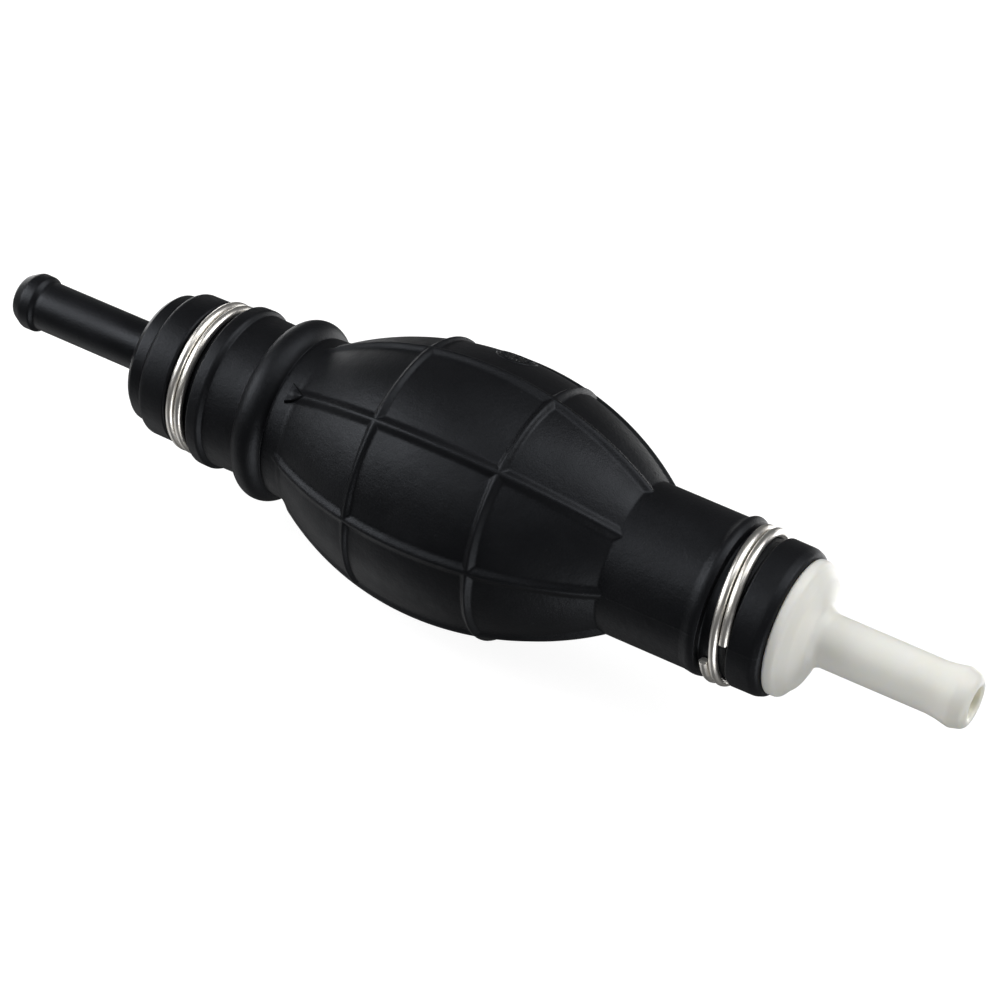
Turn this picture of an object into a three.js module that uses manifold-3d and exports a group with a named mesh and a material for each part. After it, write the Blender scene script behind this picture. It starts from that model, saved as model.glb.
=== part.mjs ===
// An in-line hand primer bulb for 8 mm fuel hose. A ribbed rubber bulb joins two hose fittings.
// Each fitting is clamped in one of the bulb's necks and holds a spring-loaded check valve.
//
// Units are millimetres. Fuel flows along +X, from the inlet to the outlet, and +Z is up.
// The origin is on the flow axis, half way between the tips of the two barbs.
// An angle round the flow axis starts at +Z and grows towards -Y.

import * as THREE from 'three';
import { mergeVertices } from 'three/addons/utils/BufferGeometryUtils.js';
import Module from 'manifold-3d';

const wasm = await Module();
wasm.setup();

// ---- Driving dimensions ----

const GAP = 0.3; // between neighbouring pieces

// Hose fittings: all but the flange and the bead are alike at the two ends.
const TIP = 78.25; // station of a barb's tip
const STEM_R = 3.8; // grips a hose of 8 mm bore
const STEM_FILLET = 2.2;
const BORE_R = 2.2;
const SPIGOT_R = 8;
const SPIGOT_LENGTH = 18.1; // into the rubber
const SPIGOT_CHAMFER = 0.7;
const SPIGOT_GROOVE = { depth: 0.6, halfWidth: 1.8 };
const CHAMBER_R = 5.7;
const CHAMBER_FLOOR = 3.5; // from the rubber's end to the valve chamber's floor
const POCKET = { r: 6.3, start: 14.3, end: 17.1 }; // snap groove for the cage or the seat

const INLET_END = {
  rubber: 49.65,
  flange: { r: 9.8, thickness: 2.8, rounding: 1.2 },
  bead: { r: 4.35, crest: 2.8, root: 4.7, nose: 3.3 },
};
const OUTLET_END = {
  rubber: 51.45,
  flange: { r: 9.85, thickness: 1.8, rounding: 1.2 },
  bead: { r: 4.33, crest: 1.8, root: 5.2, nose: 3.7 },
};

// Rubber bulb
const BULB_CENTRE = 0.54;
const BARREL_R = 46.2; // the arc that the skin follows along the bulb
const SKIN_R = 19.4; // at the bulb's middle
const WALL = 2.1;
const RIBS = 8;
const RIB_WIDTH = 1.2;
const RIB_HEIGHT = 0.8;
const RIB_ROOT = 0.6; // of a rib sunk in the wall
const RIB_START = -24.8; // of the ribs along the bulb
const RING_RIBS = [-8.7, 10.85];
const RING_RIB_HEIGHT = 0.75;
const SOCKET_R = SPIGOT_R + GAP;
const COLLAR_R = 12.2; // where the barrel leaves the inlet neck
const NECK_RING = { x: -30.1, r: 13.8, bulge: 3.55 };
const NECK_WAIST = { x: -37.3, r: 11.55 };
const NECK_RIDGE = { x: -37.8, r: 12.25 };
const INLET_CUFF_R = 10.95;
const OUTLET_NECK_R = 11.25;
const OUTLET_BEAD = { x: 40.85, r: 11.75, halfWidth: 1.1 };
const OUTLET_CUFF_R = 10.8;
const CUFF_ROUNDING = 1;

// Moulded marks: a flow arrow on the inlet shoulder and a plain round mark on the barrel
const MARK_HEIGHT = 0.3;
const ARROW = { x: -23.95, angle: 45, length: 3.6, width: 2.6 };
const ROUND_MARK = { x: 0.85, angle: -22.5, r: 3.1, ring: 0.7, dot: 0.9 };

// The squeezed part of the wall, between the ring ribs, on the -Y and the +Y side
const PRESS = { x: 1.1, halfLength: 8.55, halfHeight: 9.2, corner: 3 };

// Wire clamps
const CLAMP_WIRE = { r: 0.65, facets: 8, stepsPerTurn: 18 };
const CLAMP_PITCH = 1.45;
const CLAMP_INSET = 7.05; // from a neck's end to the middle of its clamp
const INLET_CLAMP = { x: CLAMP_INSET - INLET_END.rubber, r: 10.9, turns: 2.15, start: 290 };
const OUTLET_CLAMP = { x: OUTLET_END.rubber - CLAMP_INSET, r: 10.8, turns: 1.94, start: 111 };
const CLAMP_SEAT_HALF = 2.5; // of the groove under a clamp

// Check valves: both close towards -X and lift towards +X.
const SEAT_LIP = { height: 0.8, width: 1 };
const OUTLET_SEAT = { r: 6, bore: 2.3 };
const CAGE = { r: 6, rimWidth: 1.1, hubR: 3.5, hubBore: 1.4, spokes: 3, spokeWidth: 1.2 };
const SEAL = { r: 4.2, bore: 1.5, thickness: 1.2 };
const DISC = { r: 4.9, thickness: 1.4 };
const NOSE = { r: 1.2, headR: 1.8, headLength: 0.8 };
const VALVE_STEM_R = 1.1;
const INLET_STEM_END = -32.05;
const OUTLET_STEM_END = 54.85;
const WINGS = { r: 1.9, thickness: 0.8, length: 6.6 };
const SPRING_WIRE = { r: 0.25, facets: 6, stepsPerTurn: 12 };
const COIL = { r: 2.9, turns: 4 };

// Facets
const BULB_FACETS = 32;
const FITTING_FACETS = 24;
const VALVE_FACETS = 20;
const CURVE_STEPS = 2;
const BARREL_STEPS = 14;

// ---- Solids ----

// A closed three.js geometry as a solid that can be joined and cut.
function solid(geometry) {
  geometry.deleteAttribute('normal');
  geometry.deleteAttribute('uv');
  const merged = mergeVertices(geometry);
  const corners = merged.index.array;
  const triVerts = [];
  for (let i = 0; i < corners.length; i += 3) {
    const [a, b, c] = corners.slice(i, i + 3);
    if (a !== b && b !== c && c !== a) triVerts.push(a, b, c);
  }
  return new wasm.Manifold(new wasm.Mesh({
    numProp: 3,
    vertProperties: new Float32Array(merged.attributes.position.array),
    triVerts: new Uint32Array(triVerts),
  }));
}

// An outline of (station, radius) points turned round the flow axis.
// It runs towards +X on its outer side, and closes on itself or ends on the axis.
function turned(outline, facets) {
  const points = outline.getPoints(CURVE_STEPS).map((p) => new THREE.Vector2(p.y, p.x));
  const geometry = new THREE.LatheGeometry(points, facets);
  geometry.rotateZ(-Math.PI / 2);
  return solid(geometry);
}

// A plain ring or disc: a rectangle turned round the flow axis.
function turnedRing(start, end, inner, outer, facets) {
  const outline = new THREE.Path();
  outline.moveTo(start, inner);
  outline.lineTo(start, outer);
  outline.lineTo(end, outer);
  outline.lineTo(end, inner);
  outline.closePath();
  return turned(outline, facets);
}

// A shape drawn across +Z, raised between two heights and swung round the flow axis.
function raised(shape, low, high, angle) {
  const geometry = new THREE.ExtrudeGeometry(shape, {
    depth: high - low,
    bevelEnabled: false,
    curveSegments: 2 * CURVE_STEPS,
  });
  geometry.translate(0, 0, low);
  geometry.rotateX(THREE.MathUtils.degToRad(angle));
  return solid(geometry);
}

// A coil round the flow axis, centred on a station.
class Helix extends THREE.Curve {
  constructor({ x, r, pitch, turns, start = 0 }) {
    super();
    this.first = x - (pitch * turns) / 2;
    this.radius = r;
    this.pitch = pitch;
    this.turns = turns;
    this.start = THREE.MathUtils.degToRad(start);
  }

  getPoint(t, target = new THREE.Vector3()) {
    const angle = this.start + t * this.turns * 2 * Math.PI;
    return target.set(
      this.first + t * this.turns * this.pitch,
      -this.radius * Math.sin(angle),
      this.radius * Math.cos(angle),
    );
  }
}

// A round wire bent along a coil.
function wire(coil, { r, facets, stepsPerTurn }) {
  const section = new THREE.Shape();
  for (let i = 0; i < facets; i += 1) {
    const angle = (i / facets) * 2 * Math.PI;
    const corner = [r * Math.cos(angle), r * Math.sin(angle)];
    if (i === 0) section.moveTo(...corner);
    else section.lineTo(...corner);
  }
  section.closePath();
  const geometry = new THREE.ExtrudeGeometry(section, {
    steps: Math.round(coil.turns * stepsPerTurn),
    extrudePath: coil,
  });
  return solid(geometry);
}

// ---- Rubber bulb ----

// The radius at a station of the barrel whose middle has the radius crest.
function barrelRadius(x, crest) {
  return crest - BARREL_R + Math.sqrt(BARREL_R ** 2 - (x - BULB_CENTRE) ** 2);
}

// The station beyond the middle, towards side (-1 or 1), where that barrel has the radius r.
function barrelStation(r, crest, side) {
  return BULB_CENTRE + side * Math.sqrt(BARREL_R ** 2 - (BARREL_R - crest + r) ** 2);
}

function followBarrel(outline, from, to, crest) {
  for (let i = 0; i <= BARREL_STEPS; i += 1) {
    const x = THREE.MathUtils.lerp(from, to, i / BARREL_STEPS);
    outline.lineTo(x, barrelRadius(x, crest));
  }
}

// A square groove or ridge across an outline, with the outline's radius before and after it.
function squareStep(outline, from, to, level, before, after = before) {
  outline.lineTo(from, before);
  outline.lineTo(from, level);
  outline.lineTo(to, level);
  outline.lineTo(to, after);
}

function inletNeck(outline) {
  const end = -INLET_END.rubber;
  const seat = INLET_CLAMP.x;
  const floor = INLET_CLAMP.r - CLAMP_WIRE.r - GAP;
  outline.moveTo(end, SOCKET_R);
  outline.lineTo(end, INLET_CUFF_R - CUFF_ROUNDING);
  outline.quadraticCurveTo(end, INLET_CUFF_R, end + CUFF_ROUNDING, INLET_CUFF_R);
  squareStep(
    outline, seat - CLAMP_SEAT_HALF, seat + CLAMP_SEAT_HALF, floor, INLET_CUFF_R, NECK_RIDGE.r,
  );
  outline.lineTo(NECK_RIDGE.x, NECK_RIDGE.r);
  outline.lineTo(NECK_WAIST.x, NECK_WAIST.r);
  const hub = NECK_RING.r - NECK_RING.bulge;
  const bulgeAngle = (r) => Math.asin((r - hub) / NECK_RING.bulge);
  outline.absarc(
    NECK_RING.x, hub, NECK_RING.bulge, Math.PI - bulgeAngle(NECK_WAIST.r), bulgeAngle(COLLAR_R), true,
  );
}

function outletNeck(outline) {
  const end = OUTLET_END.rubber;
  const seat = OUTLET_CLAMP.x;
  const floor = OUTLET_CLAMP.r - CLAMP_WIRE.r - GAP;
  const { x, r, halfWidth } = OUTLET_BEAD;
  outline.lineTo(x - halfWidth, OUTLET_NECK_R);
  outline.quadraticCurveTo(x, 2 * r - OUTLET_NECK_R, x + halfWidth, OUTLET_NECK_R);
  squareStep(
    outline, seat - CLAMP_SEAT_HALF, seat + CLAMP_SEAT_HALF, floor, OUTLET_NECK_R, OUTLET_CUFF_R,
  );
  outline.lineTo(end - 2 * CUFF_ROUNDING, OUTLET_CUFF_R);
  outline.quadraticCurveTo(end, OUTLET_CUFF_R, end, OUTLET_CUFF_R - CUFF_ROUNDING);
  outline.lineTo(end, SOCKET_R);
}

// The ridge inside a neck that its clamp presses into the spigot's groove.
function neckRidge(outline, clampX) {
  const half = SPIGOT_GROOVE.halfWidth - GAP;
  squareStep(outline, clampX + half, clampX - half, SOCKET_R - SPIGOT_GROOVE.depth, SOCKET_R);
}

function turnedBulb() {
  const inside = SKIN_R - WALL;
  const outline = new THREE.Path();
  inletNeck(outline);
  const shoulder = barrelStation(COLLAR_R, SKIN_R, -1);
  followBarrel(outline, shoulder, barrelStation(OUTLET_NECK_R, SKIN_R, 1), SKIN_R);
  outletNeck(outline);
  neckRidge(outline, OUTLET_CLAMP.x);
  const mouth = barrelStation(SOCKET_R, inside, 1);
  followBarrel(outline, mouth, barrelStation(SOCKET_R, inside, -1), inside);
  neckRidge(outline, INLET_CLAMP.x);
  outline.closePath();
  return turned(outline, BULB_FACETS);
}

// A rib along the bulb: a thin plate that stands on the skin and runs out on the outlet neck.
function rib(angle) {
  const top = SKIN_R + RIB_HEIGHT;
  const root = SKIN_R - RIB_ROOT;
  const profile = new THREE.Shape();
  profile.moveTo(RIB_START, barrelRadius(RIB_START, root));
  followBarrel(profile, RIB_START, barrelStation(OUTLET_NECK_R, top, 1), top);
  followBarrel(profile, barrelStation(OUTLET_NECK_R - RIB_ROOT, root, 1), RIB_START, root);
  const geometry = new THREE.ExtrudeGeometry(profile, { depth: RIB_WIDTH, bevelEnabled: false });
  geometry.translate(0, 0, -RIB_WIDTH / 2);
  geometry.rotateX(THREE.MathUtils.degToRad(angle));
  return solid(geometry);
}

// What lies in a prism and under the skin raised by a mark's height.
function moulded(prism) {
  const outline = new THREE.Path();
  const top = SKIN_R + MARK_HEIGHT;
  outline.moveTo(-TIP / 2, NECK_WAIST.r - RIB_ROOT);
  outline.lineTo(-TIP / 2, COLLAR_R + MARK_HEIGHT);
  followBarrel(outline, barrelStation(COLLAR_R + MARK_HEIGHT, top, -1), -RIB_START, top);
  followBarrel(outline, -RIB_START, RIB_START, SKIN_R - RIB_ROOT);
  outline.closePath();
  return prism.intersect(turned(outline, BULB_FACETS));
}

function arrow() {
  const shape = new THREE.Shape();
  shape.moveTo(ARROW.x + ARROW.length / 2, 0);
  shape.lineTo(ARROW.x - ARROW.length / 2, ARROW.width / 2);
  shape.lineTo(ARROW.x - ARROW.length / 2, -ARROW.width / 2);
  shape.closePath();
  return moulded(raised(shape, COLLAR_R - 2 * RIB_ROOT, SKIN_R, ARROW.angle));
}

function roundMark() {
  const disc = (r) => new THREE.Shape().absarc(ROUND_MARK.x, 0, r, 0, 2 * Math.PI);
  const cylinder = (r) => raised(disc(r), SKIN_R - 2 * WALL, SKIN_R + 2 * WALL, ROUND_MARK.angle);
  const ring = cylinder(ROUND_MARK.r).subtract(cylinder(ROUND_MARK.r - ROUND_MARK.ring));
  return moulded(ring.add(cylinder(ROUND_MARK.dot)));
}

function wholeBulb() {
  let bulb = turnedBulb();
  for (let i = 0; i < RIBS; i += 1) bulb = bulb.add(rib((i * 360) / RIBS));
  for (const x of RING_RIBS) {
    const inner = barrelRadius(x, SKIN_R) - RIB_ROOT;
    const outer = barrelRadius(x, SKIN_R) + RING_RIB_HEIGHT;
    bulb = bulb.add(turnedRing(x - RIB_WIDTH / 2, x + RIB_WIDTH / 2, inner, outer, BULB_FACETS));
  }
  return bulb.add(arrow()).add(roundMark());
}

// The space of one press panel, grown by a margin: a rounded plate through the wall.
function pressPrism(side, margin) {
  const { x, halfLength, halfHeight, corner } = PRESS;
  const length = halfLength + margin;
  const height = halfHeight + margin;
  const shape = new THREE.Shape();
  const corners = [[1, -1, -90], [1, 1, 0], [-1, 1, 90], [-1, -1, 180]];
  for (const [alongX, alongY, from] of corners) {
    const start = THREE.MathUtils.degToRad(from);
    const centreX = x + alongX * (length - corner);
    const centreY = alongY * (height - corner);
    shape.absarc(centreX, centreY, corner, start, start + Math.PI / 2);
  }
  shape.closePath();
  return raised(shape, SKIN_R / 2, SKIN_R + WALL, side < 0 ? 90 : -90);
}

// ---- Hose fittings ----

// A fitting that points its barb towards +X, with its axis on the flow axis.
function hoseFitting({ rubber, flange, bead }, seatLip) {
  const inner = rubber - SPIGOT_LENGTH;
  const groove = rubber - CLAMP_INSET;
  const face = rubber + GAP + flange.thickness;
  const floor = rubber - CHAMBER_FLOOR;
  const o = new THREE.Path();
  o.moveTo(inner, CHAMBER_R);
  o.lineTo(inner, SPIGOT_R - SPIGOT_CHAMFER);
  o.lineTo(inner + SPIGOT_CHAMFER, SPIGOT_R);
  const { halfWidth, depth } = SPIGOT_GROOVE;
  squareStep(o, groove - halfWidth, groove + halfWidth, SPIGOT_R - depth, SPIGOT_R);
  o.lineTo(rubber + GAP, SPIGOT_R);
  o.lineTo(rubber + GAP, flange.r);
  o.lineTo(face - flange.rounding, flange.r);
  o.quadraticCurveTo(face, flange.r, face, flange.r - flange.rounding);
  o.lineTo(face, STEM_R + STEM_FILLET);
  o.quadraticCurveTo(face, STEM_R, face + STEM_FILLET, STEM_R);
  o.lineTo(TIP - bead.root, STEM_R);
  o.quadraticCurveTo((2 * TIP - bead.root - bead.crest) / 2, bead.r, TIP - bead.crest, bead.r);
  o.quadraticCurveTo(TIP, bead.r, TIP, bead.nose);
  o.lineTo(TIP, BORE_R);
  if (seatLip) {
    o.lineTo(floor - SEAT_LIP.height, BORE_R);
    o.lineTo(floor - SEAT_LIP.height, BORE_R + SEAT_LIP.width);
    o.lineTo(floor, BORE_R + SEAT_LIP.width);
  } else {
    o.lineTo(floor, BORE_R);
  }
  o.lineTo(floor, CHAMBER_R);
  squareStep(o, rubber - POCKET.start, rubber - POCKET.end, POCKET.r, CHAMBER_R);
  o.closePath();
  return turned(o, FITTING_FACETS);
}

// ---- Check valves ----

// The stations that one valve is built on, from the face that its seal closes on.
function valveStations(seat) {
  const sealEnd = seat + GAP + SEAL.thickness;
  const disc = sealEnd + GAP;
  return { seat, sealStart: seat + GAP, sealEnd, disc, back: disc + DISC.thickness };
}

// A poppet: a disc with a headed nose that holds the seal, and a guide stem towards +X.
function poppet({ seat, disc, back }, stemEnd) {
  const o = new THREE.Path();
  o.moveTo(seat - NOSE.headLength, 0);
  o.lineTo(seat - NOSE.headLength, NOSE.r);
  o.lineTo(seat, NOSE.headR);
  o.lineTo(seat, NOSE.r);
  o.lineTo(disc, NOSE.r);
  o.lineTo(disc, DISC.r);
  o.lineTo(back, DISC.r);
  o.lineTo(back, VALVE_STEM_R);
  o.lineTo(stemEnd, VALVE_STEM_R);
  o.lineTo(stemEnd, 0);
  return turned(o, VALVE_FACETS);
}

// Two crossed plates that guide the outlet stem in the bore and let fuel pass.
function addWings(body, end) {
  let winged = body;
  for (const turn of [0, Math.PI / 2]) {
    const plate = new THREE.BoxGeometry(WINGS.length, 2 * WINGS.r, WINGS.thickness);
    plate.translate(end - WINGS.length / 2, 0, 0);
    plate.rotateX(turn);
    winged = winged.add(solid(plate));
  }
  return winged;
}

// The perforated retainer that backs the inlet spring and guides the inlet stem.
function inletCage(start, end) {
  const rimInner = CAGE.r - CAGE.rimWidth;
  let cage = turnedRing(start, end, rimInner, CAGE.r, VALVE_FACETS);
  cage = cage.add(turnedRing(start, end, CAGE.hubBore, CAGE.hubR, VALVE_FACETS));
  const inner = (CAGE.hubBore + CAGE.hubR) / 2;
  const outer = CAGE.r - CAGE.rimWidth / 2;
  for (let i = 0; i < CAGE.spokes; i += 1) {
    const spoke = new THREE.BoxGeometry(end - start, CAGE.spokeWidth, outer - inner);
    spoke.translate((start + end) / 2, 0, (inner + outer) / 2);
    spoke.rotateX((i * 2 * Math.PI) / CAGE.spokes);
    cage = cage.add(solid(spoke));
  }
  return cage;
}

// The insert that the outlet poppet closes on, with its lip towards +X.
function outletSeat(start, end) {
  const plate = turnedRing(start, end, OUTLET_SEAT.bore, OUTLET_SEAT.r, VALVE_FACETS);
  const lipTop = end + SEAT_LIP.height;
  const lipOuter = OUTLET_SEAT.bore + SEAT_LIP.width;
  return plate.add(turnedRing(start, lipTop, OUTLET_SEAT.bore, lipOuter, VALVE_FACETS));
}

function valveSpring(from, to) {
  const length = to - from - 2 * (GAP + SPRING_WIRE.r);
  const coil = new Helix({ ...COIL, x: (from + to) / 2, pitch: length / COIL.turns });
  return wire(coil, SPRING_WIRE);
}

function clamp(coil) {
  return wire(new Helix({ ...coil, pitch: CLAMP_PITCH }), CLAMP_WIRE);
}

// ---- Materials and the assembly ----

const rubber = new THREE.MeshStandardMaterial({ color: 0x26272b, roughness: 0.55 });
const blackPlastic = new THREE.MeshStandardMaterial({ color: 0x222327, roughness: 0.4 });
const whiteNylon = new THREE.MeshStandardMaterial({ color: 0xe9e7e1, roughness: 0.4 });
const acetal = new THREE.MeshStandardMaterial({ color: 0xd8d8d4, roughness: 0.45 });
const sealRubber = new THREE.MeshStandardMaterial({ color: 0x1b1b1d, roughness: 0.6 });
const steel = new THREE.MeshStandardMaterial({ color: 0xc9c8c4, roughness: 0.25, metalness: 1 });

const pump = new THREE.Group();

function addPiece(name, body, material) {
  const { vertProperties, triVerts } = body.getMesh();
  const geometry = new THREE.BufferGeometry();
  geometry.setAttribute('position', new THREE.BufferAttribute(vertProperties, 3));
  geometry.setIndex(new THREE.BufferAttribute(triVerts, 1));
  geometry.computeVertexNormals();
  const mesh = new THREE.Mesh(geometry, material);
  mesh.name = name;
  pump.add(mesh);
  return mesh;
}

const bulb = wholeBulb();
const windows = pressPrism(-1, GAP).add(pressPrism(1, GAP));
addPiece('bulb', bulb.subtract(windows), rubber);
addPiece('press_panel_front', bulb.intersect(pressPrism(-1, 0)), rubber);
addPiece('press_panel_back', bulb.intersect(pressPrism(1, 0)), rubber);

const inletFitting = addPiece('inlet_fitting', hoseFitting(INLET_END, true), blackPlastic);
inletFitting.rotation.z = Math.PI;
addPiece('outlet_fitting', hoseFitting(OUTLET_END, false), whiteNylon);

const cageStart = POCKET.start - INLET_END.rubber + GAP;
const cageEnd = POCKET.end - INLET_END.rubber - GAP;
const inlet = valveStations(CHAMBER_FLOOR - INLET_END.rubber + SEAT_LIP.height);
addPiece('inlet_poppet', poppet(inlet, INLET_STEM_END), acetal);
addPiece(
  'inlet_poppet_seal',
  turnedRing(inlet.sealStart, inlet.sealEnd, SEAL.bore, SEAL.r, VALVE_FACETS),
  sealRubber,
);
addPiece('inlet_spring', valveSpring(inlet.back, cageStart), steel);
addPiece('inlet_valve_cage', inletCage(cageStart, cageEnd), acetal);

const seatStart = OUTLET_END.rubber - POCKET.end + GAP;
const seatEnd = OUTLET_END.rubber - POCKET.start - GAP;
const outlet = valveStations(seatEnd + SEAT_LIP.height);
addPiece('outlet_valve_seat', outletSeat(seatStart, seatEnd), acetal);
addPiece('outlet_poppet', addWings(poppet(outlet, OUTLET_STEM_END), OUTLET_STEM_END), acetal);
addPiece(
  'outlet_poppet_seal',
  turnedRing(outlet.sealStart, outlet.sealEnd, SEAL.bore, SEAL.r, VALVE_FACETS),
  sealRubber,
);
addPiece('outlet_spring', valveSpring(outlet.back, OUTLET_END.rubber - CHAMBER_FLOOR), steel);

addPiece('inlet_clamp', clamp(INLET_CLAMP), steel);
addPiece('outlet_clamp', clamp(OUTLET_CLAMP), steel);

export default pump;
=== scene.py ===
"""The looks of a hand primer bulb: a ribbed rubber bulb clamped between two hose fittings.

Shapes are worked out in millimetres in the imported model's frame, with +X along the flow and +Z up.
An angle round the flow axis starts at +Z and grows towards -Y. Materials use metres. A corner
of an outline is (station along the axis, radius, fillet).
"""

import math

import bmesh
import bpy
import numpy as np
from mathutils import Matrix, Vector


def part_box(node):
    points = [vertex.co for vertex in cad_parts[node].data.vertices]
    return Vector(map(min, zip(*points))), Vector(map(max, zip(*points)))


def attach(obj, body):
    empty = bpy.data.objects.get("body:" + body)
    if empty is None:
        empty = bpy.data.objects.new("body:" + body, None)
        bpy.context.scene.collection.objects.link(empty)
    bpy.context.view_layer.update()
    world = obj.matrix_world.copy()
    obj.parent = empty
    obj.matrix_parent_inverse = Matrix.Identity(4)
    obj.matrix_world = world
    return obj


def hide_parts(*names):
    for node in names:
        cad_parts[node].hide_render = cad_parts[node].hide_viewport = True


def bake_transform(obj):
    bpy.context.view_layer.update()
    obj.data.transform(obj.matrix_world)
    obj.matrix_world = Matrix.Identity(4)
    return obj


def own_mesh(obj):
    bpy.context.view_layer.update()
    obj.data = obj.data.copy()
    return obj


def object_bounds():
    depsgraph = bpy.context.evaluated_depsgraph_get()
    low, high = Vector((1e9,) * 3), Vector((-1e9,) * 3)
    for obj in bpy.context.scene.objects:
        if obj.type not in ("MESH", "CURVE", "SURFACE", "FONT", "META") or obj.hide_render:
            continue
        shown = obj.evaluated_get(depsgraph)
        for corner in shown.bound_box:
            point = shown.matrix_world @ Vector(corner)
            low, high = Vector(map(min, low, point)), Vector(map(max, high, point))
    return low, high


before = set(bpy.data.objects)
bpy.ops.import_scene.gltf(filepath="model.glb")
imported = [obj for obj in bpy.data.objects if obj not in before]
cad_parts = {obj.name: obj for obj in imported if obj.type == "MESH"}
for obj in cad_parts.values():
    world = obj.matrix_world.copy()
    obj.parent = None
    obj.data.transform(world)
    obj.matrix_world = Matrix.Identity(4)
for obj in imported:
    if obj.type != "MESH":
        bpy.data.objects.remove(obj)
cad_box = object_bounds()

MM = 0.001


def edge(node, end, axis=0):
    """Where a CAD node starts (end 0) or stops (end 1) along an axis, in millimetres."""
    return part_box(node)[end][axis] / MM


# ---- Driving dimensions, mm ----

TIP = edge("outlet_fitting", 1)
INLET_RUBBER = edge("bulb", 0)
OUTLET_RUBBER = edge("bulb", 1)
GAP = 0.3  # in the CAD, between neighbouring pieces
CONTACT = 0.04  # here, between a flange and the rubber it is pushed against

STEM_R = 3.8
BORE_R = 2.2
SPIGOT_R = 8.0
SPIGOT_LENGTH = 18.1
CHAMBER_R = 5.7
CHAMBER_FLOOR = 3.5
POCKET_R = 6.3
POCKET = (14.3, 17.1)
CLAMP_INSET = 7.05  # from a neck's end to the middle of its clamp

BULB_CENTRE = 0.54
BARREL_R = 46.2
SKIN_R = 19.05  # between ribs
WALL = 2.1
PANEL_FLATNESS = 0.38  # 0 leaves the panels round, 1 makes them flat between ribs
PANELS = (-23.45, 26.3)
RIBS = 8
CREST_R = 20.2  # of the long ribs
RIB_SINK = 0.62  # from a rib's crest down to its foot
RIB_FOOT = 1.3  # half the width at the foot
RING_RIB_FOOT = 1.38
RING_RIBS = (-8.7, 10.85)
RING_CREST_R = 20.15
OUTLET_NECK_R = 11.25
OUTLET_BEAD = {"x": 41.3, "r": 12.0, "proud_at": -35.0, "fades_by": 0.75}  # lower on one side
NECK_RING = {"x": -29.8, "r": 13.8, "section_r": 2.57}
SOCKET_R = SPIGOT_R + GAP
PARTING_LINE = {"height": 0.03, "foot": 0.3}

ARROW = {
    "x": -23.95, "angle": 45.0, "length": 3.35, "width": 3.2,
    "height": 0.85, "falls_by": 0.75, "edge": 0.2,
}
ROUND_MARK = {"x": 0.85, "angle": -22.5, "r": 3.1, "height": 0.16, "ticks": 12}
MARK_SINK = 0.3  # how far a mark's flat surroundings lie under the skin

CLAMP_WIRE_R = 0.65
WIRE_BITE = 0.02  # how far a clamp's wire presses into the rubber
CLAMP_PITCH = 1.45
INLET_CLAMP = {"r": 10.9, "turns": 2.15, "start": 290.0, "tilt": -1.4}
OUTLET_CLAMP = {"r": 10.8, "turns": 1.94, "start": 111.0, "tilt": 3.6}
SPRING_WIRE_R = 0.25
SPRING_R = 2.9
SPRING_TURNS = 4

# The view: the flow axis is turned clockwise by SLANT, its outlet nearer the camera by TOWARD.
SLANT = math.radians(23.2)
TOWARD = math.radians(22)
FACING = math.radians(54.8)  # the angle round the axis that faces the camera
VIEW_DISTANCE = 0.4433
AIM = Vector((3.5 * MM, 0, 0))
LENS = 113.95


# ---- Meshes ----

def mesh_piece(name, points, faces):
    """A smooth mesh object from points in millimetres."""
    mesh = bpy.data.meshes.new(name)
    mesh.from_pydata((np.asarray(points) * MM).tolist(), [], faces)
    mesh.validate()
    mesh.polygons.foreach_set("use_smooth", [True] * len(mesh.polygons))
    piece = bpy.data.objects.new(name, mesh)
    bpy.context.scene.collection.objects.link(piece)
    return piece


def edit(piece, change):
    """Runs change on a piece's mesh as a bmesh."""
    bm = bmesh.new()
    bm.from_mesh(piece.data)
    change(bm)
    bm.to_mesh(piece.data)
    bm.free()


def weld(piece):
    def change(bm):
        bmesh.ops.remove_doubles(bm, verts=bm.verts, dist=0.002 * MM)
        bmesh.ops.recalc_face_normals(bm, faces=bm.faces)
    edit(piece, change)


def joined(name, pieces):
    """Several mesh objects as one."""
    points, faces = [], []
    for piece in pieces:
        first = len(points)
        points += [tuple(v.co / MM) for v in piece.data.vertices]
        faces += [[first + i for i in p.vertices] for p in piece.data.polygons]
        bpy.data.objects.remove(piece)
    return mesh_piece(name, points, faces)


def even_shading(piece, angle=40.0):
    """Keeps flat faces flat beside their rounded edges."""
    piece.data.set_sharp_from_angle(angle=math.radians(angle))
    modifier = piece.modifiers.new("even_shading", "WEIGHTED_NORMAL")
    modifier.keep_sharp = True
    return piece


def rounded(corners, closed=True, step=9.0):
    """The points of an outline of (x, radius, fillet) corners, each corner turned by an arc."""
    points = []
    count = len(corners)
    for i, (x, r, fillet) in enumerate(corners):
        here = Vector((x, r))
        if fillet == 0 or (not closed and i in (0, count - 1)):
            points.append((x, r))
            continue
        back = (Vector(corners[i - 1][:2]) - here).normalized()
        ahead = (Vector(corners[(i + 1) % count][:2]) - here).normalized()
        between = back.angle(ahead)
        centre = here + (back + ahead).normalized() * (fillet / math.sin(between / 2))
        reach = fillet / math.tan(between / 2)
        start = here + back * reach - centre
        turn = math.pi - between
        sign = 1 if back.x * ahead.y - back.y * ahead.x < 0 else -1
        arcs = max(2, math.ceil(math.degrees(turn) / step))
        for k in range(arcs + 1):
            spun = Matrix.Rotation(sign * turn * k / arcs, 2) @ start
            points.append(tuple(centre + spun))
    return points


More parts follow.
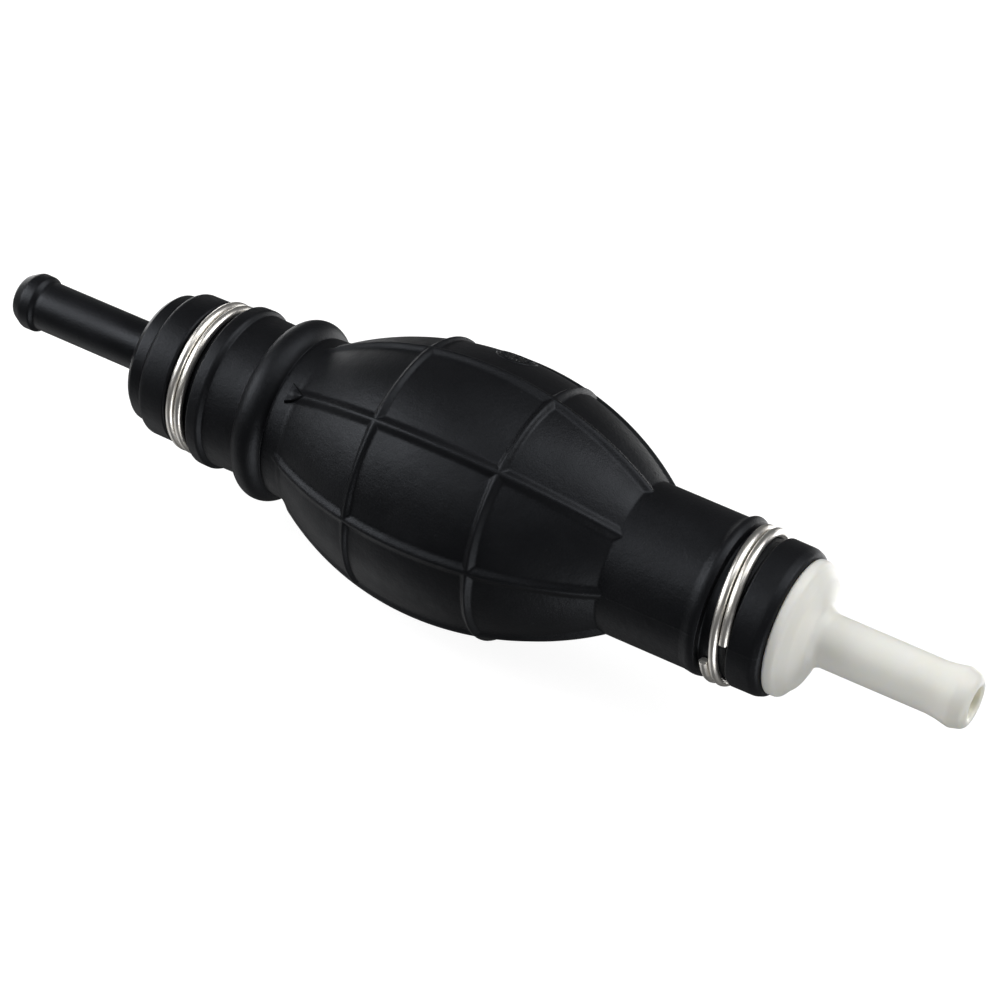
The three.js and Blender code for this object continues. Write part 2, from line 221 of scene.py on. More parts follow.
def turned(name, outline, closed=True, segments=96):
    """A piece turned round the flow axis. Its outline runs towards +X on the outer side."""
    outline = np.array(outline)
    rows = len(outline)
    angles = np.arange(segments) * 2 * math.pi / segments
    x = np.repeat(outline[:, 0], segments)
    r = np.repeat(outline[:, 1], segments)
    psi = np.tile(angles, rows)
    points = np.stack([x, -r * np.sin(psi), r * np.cos(psi)], 1)
    faces = []
    for i in range(rows if closed else rows - 1):
        low, high = i * segments, ((i + 1) % rows) * segments
        for k in range(segments):
            n = (k + 1) % segments
            faces.append((low + k, low + n, high + n, high + k))
    piece = mesh_piece(name, points, faces)
    weld(piece)
    return even_shading(piece)


def coil_wire(name, x, r, wire_r, pitch, turns, start=0.0, sides=16, per_turn=72):
    """A round wire wound round the flow axis, centred on the station x, with square-cut ends."""
    steps = round(turns * per_turn)
    slope = math.atan2(pitch, 2 * math.pi * r)
    points = []
    # The end rings repeat at a smaller radius and then at the middle, for a bevelled flat end.
    rings = [(0, 0), (0, 0.86), (0.15, 1)]
    rings += [(i, 1) for i in range(1, steps)]
    rings += [(steps - 0.15, 1), (steps, 0.86), (steps, 0)]
    for step, width in rings:
        share = step / steps
        psi = math.radians(start) + share * turns * 2 * math.pi
        radial = outward(psi)
        round_way = Vector((0, -math.cos(psi), -math.sin(psi)))
        across = Vector((math.cos(slope), 0, 0)) - round_way * math.sin(slope)
        centre = Vector((x + (share - 0.5) * turns * pitch, 0, 0)) + radial * r
        for k in range(sides):
            angle = 2 * math.pi * k / sides
            off = radial * math.cos(angle) + across * math.sin(angle)
            points.append(tuple(centre + off * wire_r * width))
    faces = []
    for i in range(len(rings) - 1):
        for k in range(sides):
            n = (k + 1) % sides
            low, high = i * sides, (i + 1) * sides
            faces.append((low + k, low + n, high + n, high + k))
    piece = mesh_piece(name, points, faces)
    weld(piece)
    return even_shading(piece)


def bevelled_box(name, low, high, bevel):
    """A box between two corners in millimetres, with rounded edges."""
    low, high = Vector(low), Vector(high)
    piece = mesh_piece(name, [], [])

    def change(bm):
        size = (high - low) * MM
        place = Matrix.Translation((low + high) / 2 * MM) @ Matrix.Diagonal((*size, 1))
        bmesh.ops.create_cube(bm, size=1, matrix=place)
        bmesh.ops.bevel(
            bm, geom=bm.edges, offset=bevel * MM, segments=3, profile=0.5, affect="EDGES"
        )
    edit(piece, change)
    return piece


def spin(piece, angle):
    """Turns a piece round the flow axis, in degrees."""
    piece.data.transform(Matrix.Rotation(math.radians(angle), 4, "X"))
    return piece


def outward(angle):
    """The direction straight out from the flow axis at an angle round it, in radians."""
    return Vector((0, -math.sin(angle), math.cos(angle)))


def lean(piece, x, angle):
    """Tips a clamp that sits slightly askew in its groove, about the line through x at FACING."""
    middle = Matrix.Translation((x * MM, 0, 0))
    turn = Matrix.Rotation(math.radians(angle), 4, outward(FACING))
    piece.data.transform(middle @ turn @ middle.inverted())


# ---- Materials ----

def node(tree, kind, inputs=None, **settings):
    made = tree.nodes.new(kind)
    for name, value in settings.items():
        setattr(made, name, value)
    for name, value in (inputs or {}).items():
        if isinstance(value, bpy.types.NodeSocket):
            tree.links.new(value, made.inputs[name])
        else:
            made.inputs[name].default_value = value
    return made


def noise(tree, where, scale, detail=3.0, roughness=0.5):
    """A noise pattern whose features are about 1/scale of a metre."""
    made = node(
        tree, "ShaderNodeTexNoise",
        {"Vector": where, "Scale": scale, "Detail": detail, "Roughness": roughness},
    )
    return made.outputs["Fac"]


def ramp(tree, value, low, high, to_low=0.0, to_high=1.0):
    """A value's range low..high spread over to_low..to_high."""
    made = node(
        tree, "ShaderNodeMapRange",
        {"Value": value, "From Min": low, "From Max": high, "To Min": to_low, "To Max": to_high},
    )
    return made.outputs["Result"]


def mixed(tree, share, first, second):
    made = node(tree, "ShaderNodeMix", {"Factor": share}, data_type="RGBA")
    for socket, colour in ((made.inputs[6], first), (made.inputs[7], second)):
        if isinstance(colour, bpy.types.NodeSocket):
            tree.links.new(colour, socket)
        else:
            socket.default_value = (*colour, 1)
    return made.outputs[2]


def summed(tree, first, second, weight):
    made = node(
        tree, "ShaderNodeMath", {0: second, 1: weight, 2: first}, operation="MULTIPLY_ADD"
    )
    return made.outputs[0]


def new_material(name):
    """A material's node tree, its Principled shader and the place of a point on the piece."""
    material = bpy.data.materials.new(name)
    material.use_nodes = True
    tree = material.node_tree
    shader = tree.nodes["Principled BSDF"]
    where = node(tree, "ShaderNodeTexCoord").outputs["Object"]
    return material, tree, shader, where


def set_shader(tree, shader, **inputs):
    for name, value in inputs.items():
        socket = shader.inputs[name.replace("_", " ")]
        if isinstance(value, bpy.types.NodeSocket):
            tree.links.new(value, socket)
        else:
            socket.default_value = (*value, 1) if isinstance(value, tuple) else value


def bump(tree, height, distance, strength=1.0, over=None):
    """A bumped normal, in millimetres of height, laid over another bump if one is given."""
    inputs = {"Height": height, "Distance": distance * MM, "Strength": strength}
    if over is not None:
        inputs["Normal"] = over
    return node(tree, "ShaderNodeBump", inputs).outputs["Normal"]


def rubber_material():
    """Moulded black rubber: satin, finely grained, with a few paler rubbed and dusty places."""
    material, tree, shader, where = new_material("bulb_rubber")
    broad = noise(tree, where, 90, 4)
    grain = noise(tree, where, 3400, 2)
    pits = noise(tree, where, 1600, 3)
    dust = ramp(tree, noise(tree, where, 1500, 1), 0.74, 0.82)
    rubbed = ramp(tree, broad, 0.35, 0.75)
    base = mixed(tree, rubbed, (0.0026, 0.0027, 0.0033), (0.0038, 0.004, 0.0048))
    colour = mixed(tree, ramp(tree, dust, 0, 1, 0, 0.25), base, (0.03, 0.03, 0.032))
    waves = noise(tree, where, 350, 2)
    gloss = summed(tree, ramp(tree, broad, 0.3, 0.75, 0.4, 0.52), waves, 0.08)
    height = summed(tree, grain, pits, 0.8)
    uneven = bump(tree, waves, 0.085)
    set_shader(
        tree, shader,
        Base_Color=colour,
        Roughness=summed(tree, gloss, dust, 0.15),
        Specular_IOR_Level=0.28,
        Specular_Tint=(0.86, 0.91, 1.0),
        Normal=bump(tree, height, 0.045, 0.6, uneven),
    )
    return material


def black_plastic_material():
    """Moulded black nylon, a little glossier than the rubber, with a fine spark-eroded texture."""
    material, tree, shader, where = new_material("black_plastic")
    broad = noise(tree, where, 140, 3)
    grain = noise(tree, where, 3200, 2)
    patches = ramp(tree, broad, 0.3, 0.7)
    colour = mixed(tree, patches, (0.0032, 0.0034, 0.0041), (0.0046, 0.0048, 0.0057))
    set_shader(
        tree, shader,
        Base_Color=colour,
        Roughness=ramp(tree, broad, 0.3, 0.7, 0.36, 0.46),
        Specular_IOR_Level=0.28,
        Specular_Tint=(0.86, 0.91, 1.0),
        Normal=bump(tree, grain, 0.05, 0.6),
    )
    return material


def white_nylon_material():
    """Natural nylon: creamy white, faintly cloudy, light passing a little way in, with a painted
    glow in the bore.
    """
    material, tree, shader, where = new_material("white_nylon")
    cloud = noise(tree, where, 220, 4)
    grain = noise(tree, where, 2400, 2)
    outside = mixed(tree, ramp(tree, cloud, 0.3, 0.7), (0.94, 0.93, 0.85), (0.965, 0.955, 0.89))
    parts = node(tree, "ShaderNodeSeparateXYZ", {"Vector": where}).outputs
    off_axis = node(tree, "ShaderNodeCombineXYZ", {"Y": parts["Y"], "Z": parts["Z"]}).outputs[0]
    radius = node(tree, "ShaderNodeVectorMath", {0: off_axis}, operation="LENGTH").outputs["Value"]
    # Painted light: the bore is painted a warmer, yellower cream, standing for light shining through
    # the thin nylon wall into it.
    painted_bore_glow = ramp(tree, radius, (BORE_R + 0.1) * MM, (BORE_R + 0.5) * MM, 1, 0)
    colour = mixed(tree, painted_bore_glow, outside, (0.975, 0.955, 0.84))
    set_shader(
        tree, shader,
        Base_Color=colour,
        Roughness=ramp(tree, cloud, 0.3, 0.7, 0.34, 0.46),
        Subsurface_Weight=0.5,
        Subsurface_Scale=1.5 * MM,
        Normal=bump(tree, grain, 0.015, 0.3),
    )
    shader.inputs["Subsurface Radius"].default_value = (1.0, 0.9, 0.72)
    return material


def acetal_material():
    """Smooth white valve plastic."""
    material, tree, shader, where = new_material("valve_plastic")
    cloud = noise(tree, where, 300, 3)
    colour = mixed(tree, ramp(tree, cloud, 0.3, 0.7), (0.72, 0.72, 0.69), (0.8, 0.8, 0.77))
    set_shader(
        tree, shader,
        Base_Color=colour,
        Roughness=ramp(tree, cloud, 0.3, 0.7, 0.28, 0.4),
        Normal=bump(tree, noise(tree, where, 2000, 2), 0.01, 0.3),
    )
    return material


def seal_material():
    """Smooth black nitrile."""
    material, tree, shader, where = new_material("seal_rubber")
    broad = noise(tree, where, 400, 3)
    colour = mixed(tree, ramp(tree, broad, 0.3, 0.7), (0.01, 0.01, 0.011), (0.018, 0.018, 0.019))
    set_shader(
        tree, shader,
        Base_Color=colour,
        Roughness=ramp(tree, broad, 0.3, 0.7, 0.45, 0.6),
        Normal=bump(tree, noise(tree, where, 3000, 2), 0.01, 0.3),
    )
    return material


def metal_material(name, dull, bright, low, high):
    """Drawn wire: bright metal with fine drawing lines and faint tarnish."""
    material, tree, shader, where = new_material(name)
    tarnish = noise(tree, where, 500, 4)
    stretched = node(tree, "ShaderNodeMapping", {"Vector": where, "Scale": (6.0, 1.0, 1.0)})
    lines = noise(tree, stretched.outputs[0], 1800, 2)
    colour = mixed(tree, ramp(tree, tarnish, 0.35, 0.65), dull, bright)
    set_shader(
        tree, shader,
        Base_Color=colour,
        Metallic=1.0,
        Roughness=ramp(tree, tarnish, 0.3, 0.7, high, low),
        Normal=bump(tree, lines, 0.008, 0.25),
    )
    return material


def finish(piece, material, nodes, body=None):
    """Gives a piece its material, hides the CAD nodes it stands for and, if one is given, puts it on
    the body it rides on.
    """
    piece.data.materials.append(material)
    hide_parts(*nodes)
    if body:
        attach(piece, body)
    return piece


# ---- The rubber bulb ----

def barrel(x, crest):
    """The radius at x of the barrel whose middle has the radius crest."""
    return crest - BARREL_R + np.sqrt(BARREL_R**2 - (x - BULB_CENTRE) ** 2)


def ridge(distance, foot=RIB_FOOT):
    """The share of a rib's height at a distance from its middle: a round crest and soft feet."""
    return np.clip(1 - (distance / foot) ** 2, 0, 1) ** 3


def fade(x, start, end):
    """Rises smoothly from 0 at start to 1 at end."""
    t = np.clip((x - start) / (end - start), 0, 1)
    return t * t * (3 - 2 * t)


def ring_arc(low_r, high_r):
    """The ring on the inlet neck, from the radius low_r on one side to high_r on the other."""
    section_r = NECK_RING["section_r"]
    centre_r = NECK_RING["r"] - section_r
    first = math.pi - math.asin((low_r - centre_r) / section_r)
    last = math.asin((high_r - centre_r) / section_r)
    return [
        (NECK_RING["x"] + section_r * math.cos(a), centre_r + section_r * math.sin(a))
        for a in np.linspace(first, last, 22)
    ]


def groove_floor(clamp):
    return clamp["r"] - CLAMP_WIRE_R - WIRE_BITE


def inlet_neck():
    """The skin from the inlet end over the cuff, the clamp's groove, the neck and its ring."""
    end = INLET_RUBBER
    seat = end + CLAMP_INSET
    floor = groove_floor(INLET_CLAMP)
    cuff_and_neck = [
        (end, SOCKET_R, 0.2),
        (end, 10.95, 1.0),
        (seat - 2.35, 11.0, 0.45),
        (seat - 2.05, floor, 0.35),
        (seat + 2.1, floor, 0.35),
        (seat + 2.4, 12.25, 0.45),
        (-38.2, 12.3, 0.7),
        (-37.7, 11.62, 0.25),
        (-32.45, 11.5, 0.3),
        (-32.3, 11.8, 0),
    ]
    outline = rounded(cuff_and_neck, closed=False)[:-1] + ring_arc(11.85, 12.1)
    after = PANELS[0] + 1.6
    collar = [
        (*outline[-1], 0),
        (-27.35, 12.0, 0.1),
        (-27.0, 12.1, 0.3),
        (PANELS[0], float(barrel(PANELS[0], SKIN_R)), 2.2),
        (after, float(barrel(after, SKIN_R)), 0),
    ]
    line = rounded(collar, closed=False)[1:-1]
    # Extra stations on the collar let the ribs rise smoothly there.
    stations = np.arange(-26.5, -24.35, 0.25)
    extra = [(x, float(np.interp(x, *np.array(line).T))) for x in stations]
    return outline + sorted(line + extra)


def outlet_neck():
    """The skin from the barrel over the neck, its bead and the clamp's groove to the end."""
    end = OUTLET_RUBBER
    seat = end - CLAMP_INSET
    floor = groove_floor(OUTLET_CLAMP)
    corners = [
        (PANELS[1], OUTLET_NECK_R, 0),
        (OUTLET_BEAD["x"] - 1.2, 11.2, 1.2),
        (OUTLET_BEAD["x"], OUTLET_BEAD["r"], 0.8),
        (seat - 2.25, 11.3, 0.3),
        (seat - 2.1, floor, 0.3),
        (seat + 2.0, floor, 0.35),
        (seat + 2.3, 10.85, 0.4),
        (end - 1.2, 10.8, 1.5),
        (end, 10.35, 0.7),
        (end, SOCKET_R, 0.2),
    ]
    return rounded([*corners, (end - 1, SOCKET_R, 0)], closed=False)[:-1]


def barrel_stations():
    """Stations along the barrel, closer together across the ring ribs and at the ribs' ends."""
    close = np.array([0.0, 0.1, 0.2, 0.34, 0.5, 0.68, 0.86, 1.04, 1.2, 1.38, 1.6])
    stations = list(np.arange(PANELS[0] + 1.7, PANELS[1], 0.6))
    for ring in RING_RIBS:
        stations = [x for x in stations if abs(x - ring) > close[-1] + 0.3]
        stations += [*(ring - close[1:]), *(ring + close)]
    return np.array(sorted(stations))


def outer_outline():
    """The bulb's outer skin between ribs, from the inlet end to the outlet end."""
    stations = barrel_stations()
    along = [(x, float(barrel(x, SKIN_R))) for x in stations]
    outlet = outlet_neck()
    # Extra stations on the outlet neck let the ribs run out to a point there.
    tail = [(PANELS[1] + step, OUTLET_NECK_R) for step in np.linspace(0.15, 2.6, 15)]
    return inlet_neck() + along + [outlet[0]] + tail + outlet[1:]


def inner_outline():
    """The inside of the bulb, from the outlet end back to the inlet end."""
    inside = SKIN_R - WALL
    mouth = math.sqrt(BARREL_R**2 - (BARREL_R - inside + SOCKET_R) ** 2)
    stations = np.linspace(BULB_CENTRE + mouth, BULB_CENTRE - mouth, 28)
    return [(x, float(barrel(x, inside))) for x in stations]


OUTER = outer_outline()
INNER = inner_outline()
BARREL_X = (-27, 40)  # between the neck ring and the outlet bead
SKIN_X, SKIN_LINE = np.array([p for p in OUTER if BARREL_X[0] < p[0] < BARREL_X[1]]).T


def rib_distance(psi, r):
    """The distance from the nearest long rib's middle, in millimetres and as an angle."""
    sector = 2 * math.pi / RIBS
    off = (psi + sector / 2) % sector - sector / 2
    return r * np.sin(np.abs(off)), off


def skin_radius(x, psi, r):
    """The outer radius, with the flattened panels, the ribs and the mould's parting line."""
    distance, off = rib_distance(psi, r)
    in_panels = (x > PANELS[0]) & (x < PANELS[1])
    flat = 1 / np.cos(math.pi / RIBS - np.abs(off)) - 1
    flatness = PANEL_FLATNESS * fade(x, PANELS[0], PANELS[0] + 5) * fade(-x, -PANELS[1], -20)
    body = np.where(in_panels, r * (1 + flatness * flat), r)
    top = barrel(np.clip(x, -40, 40), CREST_R) - RIB_SINK * (1 - ridge(distance))
    long_rib = np.maximum(top - body, 0) * fade(x, PANELS[0] - 2.6, PANELS[0] + 0.4)
    ring_rib = np.zeros_like(body)
    for ring in RING_RIBS:
        rise = (barrel(ring, RING_CREST_R) - body) * ridge(x - ring, RING_RIB_FOOT)
        ring_rib = np.maximum(ring_rib, rise)
    on_neck = (x > PANELS[1] + 2.2) & (r > 10.5)
    line = PARTING_LINE["height"] * ridge(r * np.cos(psi), PARTING_LINE["foot"])
    parting = np.where(on_neck, line, 0)
    bead = np.where(x > OUTLET_BEAD["x"] - 1.2, np.maximum(r - OUTLET_NECK_R, 0), 0)
    away = (1 - np.cos(psi - math.radians(OUTLET_BEAD["proud_at"]))) / 2
    return body + np.maximum(long_rib, ring_rib) + parting - OUTLET_BEAD["fades_by"] * away * bead


def columns(r):
    """Angles round one half of the bulb for a skin radius: close together across each rib."""
    close = np.array([0, 0.1, 0.2, 0.32, 0.46, 0.62, 0.8, 0.98, 1.14, 1.3, 1.6, 2.2])
    near = np.arcsin(close / r)
    sector = 2 * math.pi / RIBS
    middle = np.linspace(near[-1], sector - near[-1], 11)[1:-1]
    one = np.concatenate([near, middle, (sector - near)[::-1][:-1]])
    half = [one + k * sector for k in range(RIBS // 2)]
    return np.concatenate([*half, [math.pi]])


def half_bulb(name, side):
    """One half of the bulb, on the -Y side (side 0) or the +Y side (side 1), as a wall."""
    rows = []
    for x, r in OUTER:
        psi = columns(r) + side * math.pi
        rows.append((x, skin_radius(np.full_like(psi, x), psi, np.full_like(psi, r)), psi))
    for x, r in INNER:
        psi = columns(r) + side * math.pi
        rows.append((x, np.full_like(psi, r), psi))
    points = np.concatenate(
        [np.stack([np.full_like(p, x), -r * np.sin(p), r * np.cos(p)], 1) for x, r, p in rows]
    )
    across = len(rows[0][2])
    faces = []
    for i in range(len(rows)):
        low, high = i * across, ((i + 1) % len(rows)) * across
        for k in range(across - 1):
            faces.append((low + k, low + k + 1, high + k + 1, high + k))
    return mesh_piece(name, points, faces)


def relief(name, mark, half_length, half_width, height_at, steps=72):
    """A raised mark laid on the skin: a fine patch, sunk a little where it has no height."""
    u = np.linspace(-half_length, half_length, steps)
    v = np.linspace(-half_width, half_width, steps)
    grid_u, grid_v = (a.ravel() for a in np.meshgrid(u, v, indexing="ij"))
    x = mark["x"] + grid_u
    r = np.interp(x, SKIN_X, SKIN_LINE)
    psi = math.radians(mark["angle"]) + grid_v / r
    raised_by = height_at(grid_u, grid_v)
    low = raised_by <= 0
    radius = np.where(low, r - MARK_SINK, skin_radius(x, psi, r) + raised_by)
    points = np.stack([x, -radius * np.sin(psi), radius * np.cos(psi)], 1)
    faces = []
    for i in range(steps - 1):
        for k in range(steps - 1):
            near, far = i * steps + k, (i + 1) * steps + k
            corners = (near, near + 1, far + 1, far)
            if not all(low[c] for c in corners):
                faces.append(corners)
    return mesh_piece(name, points, faces)


def arrow_height(u, v):
    """A triangle that points towards the outlet and falls from its base to its tip."""
    length, width = ARROW["length"], ARROW["width"]
    to_side = (length / 2 - u) * width / (2 * length) - np.abs(v)
    inside = np.minimum(to_side, u + length / 2)
    fall = 1 - ARROW["falls_by"] * (u + length / 2) / length
    return ARROW["height"] * fall * np.clip(inside / ARROW["edge"], 0, 1)


def round_mark_height(u, v):
    """A plain round mould mark: a ring with ticks inside it and a dot."""
    r = ROUND_MARK["r"]
    d = np.hypot(u, v)
    turn = np.arctan2(v, u) * ROUND_MARK["ticks"] / (2 * math.pi)
    tick_off = np.abs(turn - np.round(turn)) * 2 * math.pi / ROUND_MARK["ticks"] * d
    ring = ridge(d - (r - 0.35), 0.4)
    ticks = ridge(tick_off, 0.32) * ridge(d - 0.62 * r, 0.7)
    dot = ridge(d, 0.8)
    return ROUND_MARK["height"] * np.maximum(np.maximum(ring, ticks), dot) - 0.01


def build_bulb(material):
    front_skin = half_bulb("front_skin", 0)
    back_skin = half_bulb("back_skin", 1)
    arrow = relief("arrow", ARROW, ARROW["length"] / 2, ARROW["width"] / 2, arrow_height)
    reach = ROUND_MARK["r"] + 0.1
    mark = relief("round_mark", ROUND_MARK, reach, reach, round_mark_height, 110)
    halves = (
        ("bulb_front", [front_skin, arrow], "front_wall", "press_panel_front"),
        ("bulb_back", [back_skin, mark], "back_wall", "press_panel_back"),
    )
    for name, parts, wall, panel in halves:
        piece = finish(joined(name, parts), material, [panel, "bulb"])
        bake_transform(piece)


# ---- Hose fittings ----

def inside_of_fitting(rubber, seat_lip):
    """The bore, the valve chamber and its snap pocket, from the barb's tip inwards."""
    floor = rubber - CHAMBER_FLOOR
    lip = [(floor - 0.8, BORE_R, 0.15), (floor - 0.8, BORE_R + 1, 0.2), (floor, BORE_R + 1, 0.1)]
    return [
        (TIP, BORE_R, 0.4),
        *(lip if seat_lip else [(floor, BORE_R, 0.4)]),
        (floor, CHAMBER_R, 0.4),
        (rubber - POCKET[0], CHAMBER_R, 0.1),
        (rubber - POCKET[0], POCKET_R, 0.15),
        (rubber - POCKET[1], POCKET_R, 0.15),
        (rubber - POCKET[1], CHAMBER_R, 0.1),
    ]


def spigot(rubber):
    """The stepped outside of the stretch that sits in the rubber neck."""
    inner = rubber - SPIGOT_LENGTH
    seat = rubber - CLAMP_INSET
    return [
        (inner, CHAMBER_R, 0.2),
        (inner, SPIGOT_R - 0.7, 0.3),
        (inner + 0.7, SPIGOT_R, 0.3),
        (seat - 1.8, SPIGOT_R, 0.2),
        (seat - 1.8, SPIGOT_R - 0.6, 0.15),
        (seat + 1.8, SPIGOT_R - 0.6, 0.15),
        (seat + 1.8, SPIGOT_R, 0.2),
    ]


def inlet_outline():
    rubber = -INLET_RUBBER
    face = rubber + GAP + 2.8
    return [
        *spigot(rubber),
        (rubber + CONTACT, SPIGOT_R, 0.1),
        (rubber + CONTACT, 9.8, 0.35),
        (face - 1.0, 9.75, 0.5),
        (face - 0.1, 8.9, 0.7),
        (face + 0.3, 6.0, 2.0),
        (face + 2.1, STEM_R, 1.5),
        (TIP - 5.2, STEM_R, 1.4),
        (TIP - 4.4, STEM_R - 0.06, 0.5),
        (TIP - 3.8, 4.33, 0.5),
        (TIP - 2.1, 4.36, 1.3),
        (TIP, 3.2, 1.3),
        *inside_of_fitting(rubber, True),
    ]


def outlet_outline():
    rubber = OUTLET_RUBBER
    return [
        *spigot(rubber),
        (rubber + CONTACT, SPIGOT_R, 0.1),
        (rubber + CONTACT, 9.85, 0.45),
        (rubber + 1.6, 9.8, 0.7),
        (rubber + 1.95, 9.15, 0.35),
        (rubber + 2.9, 8.1, 1.6),
        (rubber + 4.0, 4.8, 1.5),
        (rubber + 5.1, 3.85, 1.5),
        (TIP - 5.6, STEM_R, 2.0),
        (TIP - 4.2, 3.95, 2.0),
        (TIP - 2.2, 4.36, 1.6),
        (TIP, 3.75, 1.2),
        *inside_of_fitting(rubber, False),
    ]


def mirrored(outline):
    """The same outline facing -X, still running towards +X on its outer side."""
    return [(-x, r) for x, r in reversed(outline)]


def build_fittings(black, white):
    inlet = turned("inlet_hose_fitting", mirrored(rounded(inlet_outline())), segments=128)
    finish(inlet, black, ["inlet_fitting"], "pump_body")
    outlet = turned("outlet_hose_fitting", rounded(outlet_outline()), segments=128)
    finish(outlet, white, ["outlet_fitting"], "pump_body")


# ---- Check valves ----

def poppet_body(name, node_name, stem_end):
    """The disc, headed nose and guide stem of a poppet that closes towards -X."""
    seat = edge(node_name, 0) + 0.8
    disc = seat + 1.8
    back = disc + 1.4
    return turned(
        name,
        rounded([
            (seat - 0.8, 0, 0),
            (seat - 0.8, 1.2, 0.2),
            (seat - 0.1, 1.8, 0.15),
            (seat, 1.2, 0.1),
            (disc, 1.2, 0.1),
            (disc, 4.9, 0.25),
            (back, 4.9, 0.25),
            (back, 1.1, 0.4),
            (stem_end, 1.1, 0.3),
            (stem_end, 0, 0),
        ], closed=False),
        closed=False,
        segments=72,
    )


def build_poppets(material):
    inlet = poppet_body("inlet_valve_poppet", "inlet_poppet", edge("inlet_poppet", 1))
    finish(inlet, material, ["inlet_poppet"], "inlet_valve")
    end = edge("outlet_poppet", 1)
    wings = [
        spin(bevelled_box("wing", (end - 6.6, -1.9, -0.4), (end, 1.9, 0.4), 0.12), turn)
        for turn in (0, 90)
    ]
    outlet = joined("outlet_valve_poppet", [poppet_body("stem", "outlet_poppet", end), *wings])
    finish(even_shading(outlet), material, ["outlet_poppet"], "outlet_valve")


def build_seals(material):
    for which in ("inlet", "outlet"):
        cad = f"{which}_poppet_seal"
        start, stop = edge(cad, 0), edge(cad, 1)
        corners = [(start, 1.5, 0.15), (start, 4.2, 0.3), (stop, 4.2, 0.3), (stop, 1.5, 0.15)]
        seal = turned(f"{which}_valve_seal", rounded(corners), segments=72)
        finish(seal, material, [cad], f"{which}_valve")


def plain_ring(name, start, stop, inner, outer, fillet=0.2):
    corners = [(start, inner), (start, outer), (stop, outer), (stop, inner)]
    return turned(name, rounded([(*corner, fillet) for corner in corners]), segments=72)


def build_cage(material):
    """The inlet valve's retainer: a rim and a hub joined by three spokes."""
    start, stop = edge("inlet_valve_cage", 0), edge("inlet_valve_cage", 1)
    parts = [
        plain_ring("rim", start, stop, 4.9, 6.0),
        plain_ring("hub", start, stop, 1.4, 3.5),
    ]
    for k in range(3):
        spoke = bevelled_box("spoke", (start + 0.1, -0.6, 3.2), (stop - 0.1, 0.6, 5.2), 0.15)
        parts.append(spin(spoke, 120 * k))
    cage = even_shading(joined("inlet_valve_retainer", parts))
    finish(cage, material, ["inlet_valve_cage"], "pump_body")


def build_outlet_seat(material):
    start, stop = edge("outlet_valve_seat", 0), edge("outlet_valve_seat", 1)
    corners = [
        (start, 2.3, 0.25),
        (start, 6.0, 0.3),
        (stop - 0.8, 6.0, 0.3),
        (stop - 0.8, 3.4, 0.2),
        (stop, 3.2, 0.15),
        (stop, 2.3, 0.15),
    ]
    seat = turned("outlet_valve_insert", rounded(corners), segments=72)
    finish(seat, material, ["outlet_valve_seat"], "pump_body")


def build_springs(material):
    """Each spring is a coil of wire that rides on the pump body."""
    for which in ("inlet", "outlet"):
        cad = f"{which}_spring"
        start, stop = edge(cad, 0), edge(cad, 1)
        length = stop - start - 2 * SPRING_WIRE_R
        spring = coil_wire(
            f"{which}_valve_spring", (start + stop) / 2, SPRING_R, SPRING_WIRE_R,
            length / SPRING_TURNS, SPRING_TURNS, sides=12, per_turn=48,
        )
        finish(spring, material, [cad], "pump_body")
        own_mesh(spring)


def build_clamps(material):
    for which, clamp in (("inlet", INLET_CLAMP), ("outlet", OUTLET_CLAMP)):
        cad = f"{which}_clamp"
        middle = (edge(cad, 0) + edge(cad, 1)) / 2
        wire = coil_wire(
            f"{which}_wire_clamp", middle, clamp["r"], CLAMP_WIRE_R,
            CLAMP_PITCH, clamp["turns"], clamp["start"], sides=24, per_turn=120,
        )
        lean(wire, middle, clamp["tilt"])
        finish(wire, material, [cad], "pump_body")


# ---- Floor, light and camera ----

def view_axes():
    """The camera's right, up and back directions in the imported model's frame."""
    flow = Vector((1, 0, 0))
    facing = outward(FACING)
    below = flow.cross(facing)
    back = facing * math.cos(TOWARD) + flow * math.sin(TOWARD)
    along = flow * math.cos(TOWARD) - facing * math.sin(TOWARD)
    right = along * math.cos(SLANT) - below * math.sin(SLANT)
    up = -(along * math.sin(SLANT) + below * math.cos(SLANT))
    return right, up, back


def add_camera():
    right, up, back = view_axes()
    data = bpy.data.cameras.new("camera")
    data.lens = LENS
    data.shift_x = 0.010
    data.shift_y = -0.0046
    data.clip_start = 0.01
    camera = bpy.data.objects.new("camera", data)
    camera.matrix_world = Matrix.Translation(AIM + back * VIEW_DISTANCE) @ Matrix(
        (right, up, back)
    ).transposed().to_4x4()
    bpy.context.scene.collection.objects.link(camera)
    bpy.context.scene.camera = camera


def hide_from_light(stage_piece):
    """Leaves a backdrop for the camera to see, without it lighting the pump or shading it."""
    stage_piece.visible_diffuse = False
    stage_piece.visible_glossy = False
    stage_piece.visible_transmission = False
    stage_piece.visible_shadow = False


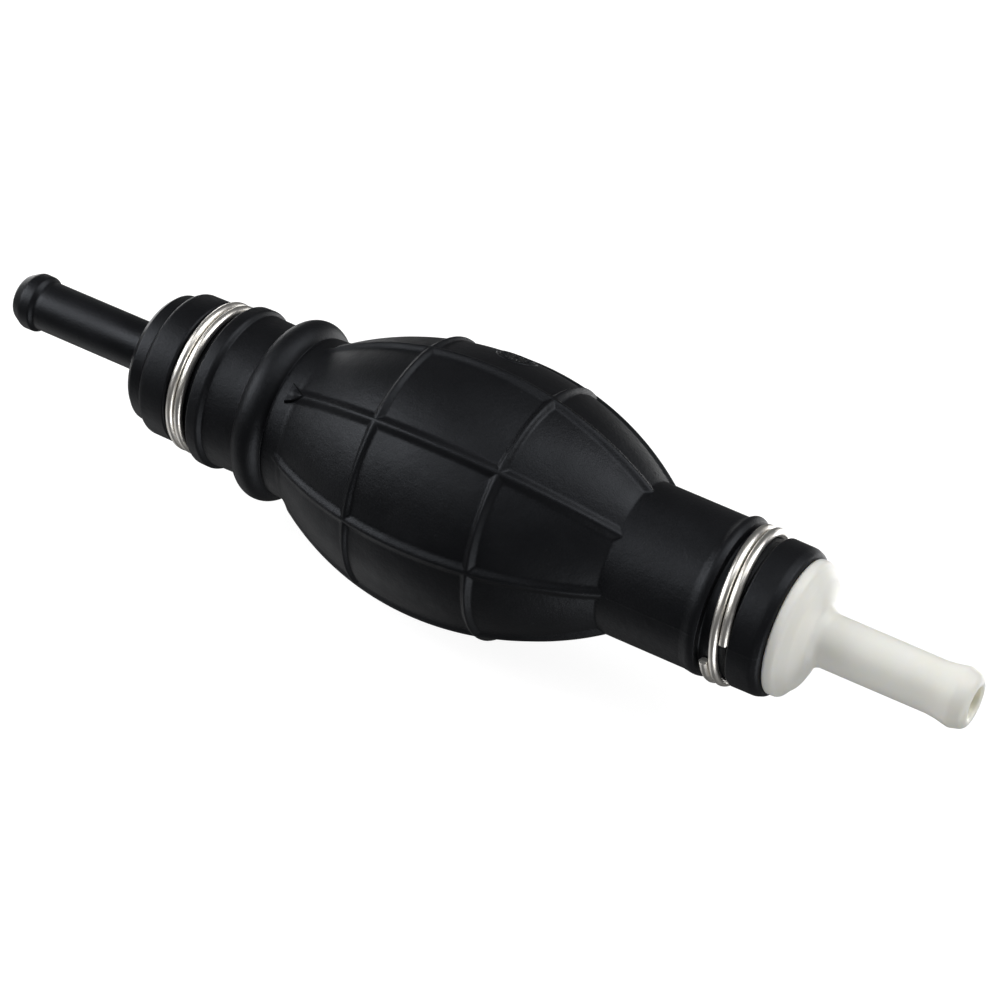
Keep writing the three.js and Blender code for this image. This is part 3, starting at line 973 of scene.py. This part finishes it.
def add_floor():
    """A pale floor, and a wall of the same colour far behind it all round."""
    low = cad_box[0][2] - 0.1 * MM
    floor = mesh_piece("floor", [], [])

    def change(bm):
        bmesh.ops.create_grid(
            bm, x_segments=1, y_segments=1, size=4, matrix=Matrix.Translation((0, 0, low))
        )
        bmesh.ops.create_uvsphere(bm, u_segments=64, v_segments=32, radius=3.9)
    edit(floor, change)
    material, tree, shader, _ = new_material("pale_floor")
    set_shader(tree, shader, Base_Color=(0.25, 0.25, 0.25), Roughness=0.9, Specular_IOR_Level=0.0)
    set_shader(tree, shader, Emission_Color=(1.0, 1.0, 1.0), Emission_Strength=0.93)
    floor.data.materials.append(material)
    hide_from_light(floor)


def add_area(name, direction, radiance, distance=0.95, size=0.55):
    """A soft square lamp that shines on the pump from a direction."""
    direction = Vector(direction).normalized()
    data = bpy.data.lights.new(name, "AREA")
    data.shape = "SQUARE"
    data.size = size
    data.energy = radiance * math.pi * size**2
    lamp = bpy.data.objects.new(name, data)
    lamp.location = direction * distance
    lamp.rotation_euler = direction.to_track_quat("Z", "Y").to_euler()
    lamp.visible_camera = False
    bpy.context.scene.collection.objects.link(lamp)


def add_lights():
    """Soft lamps all round, the hardest of them close by on the left, in a nearly dark room."""
    add_area("left", (-0.78, -0.4, 0.48), 5.2, 0.5, 0.3)
    add_area("right_top", (0.61, 0.39, 0.69), 4.4)
    add_area("top", (0.23, 0.0, 0.97), 2.3)
    add_area("front", (-0.3, -0.7, 0.64), 1.8)
    add_area("right_low", (0.75, -0.35, -0.56), 3.6)
    add_area("back", (0.2, 0.93, -0.3), 2.9)
    add_area("back_left", (-0.8, 0.55, -0.15), 2.7)
    add_area("below_left", (-0.62, -0.15, -0.76), 0.5, 0.95, 0.8)
    world = bpy.data.worlds.new("studio")
    world.use_nodes = True
    background = world.node_tree.nodes["Background"]
    background.inputs["Color"].default_value = (1, 1, 1, 1)
    background.inputs["Strength"].default_value = 0.08
    bpy.context.scene.world = world
    bpy.context.scene.view_settings.view_transform = "Standard"


def main():
    rubber = rubber_material()
    valve_plastic = acetal_material()
    build_bulb(rubber)
    build_fittings(black_plastic_material(), white_nylon_material())
    build_poppets(valve_plastic)
    build_seals(seal_material())
    build_cage(valve_plastic)
    build_outlet_seat(valve_plastic)
    build_springs(metal_material("spring_wire", (0.42, 0.42, 0.41), (0.6, 0.6, 0.59), 0.22, 0.34))
    build_clamps(metal_material("clamp_wire", (0.88, 0.85, 0.79), (0.97, 0.95, 0.91), 0.28, 0.42))
    add_floor()
    add_lights()
    add_camera()


main()
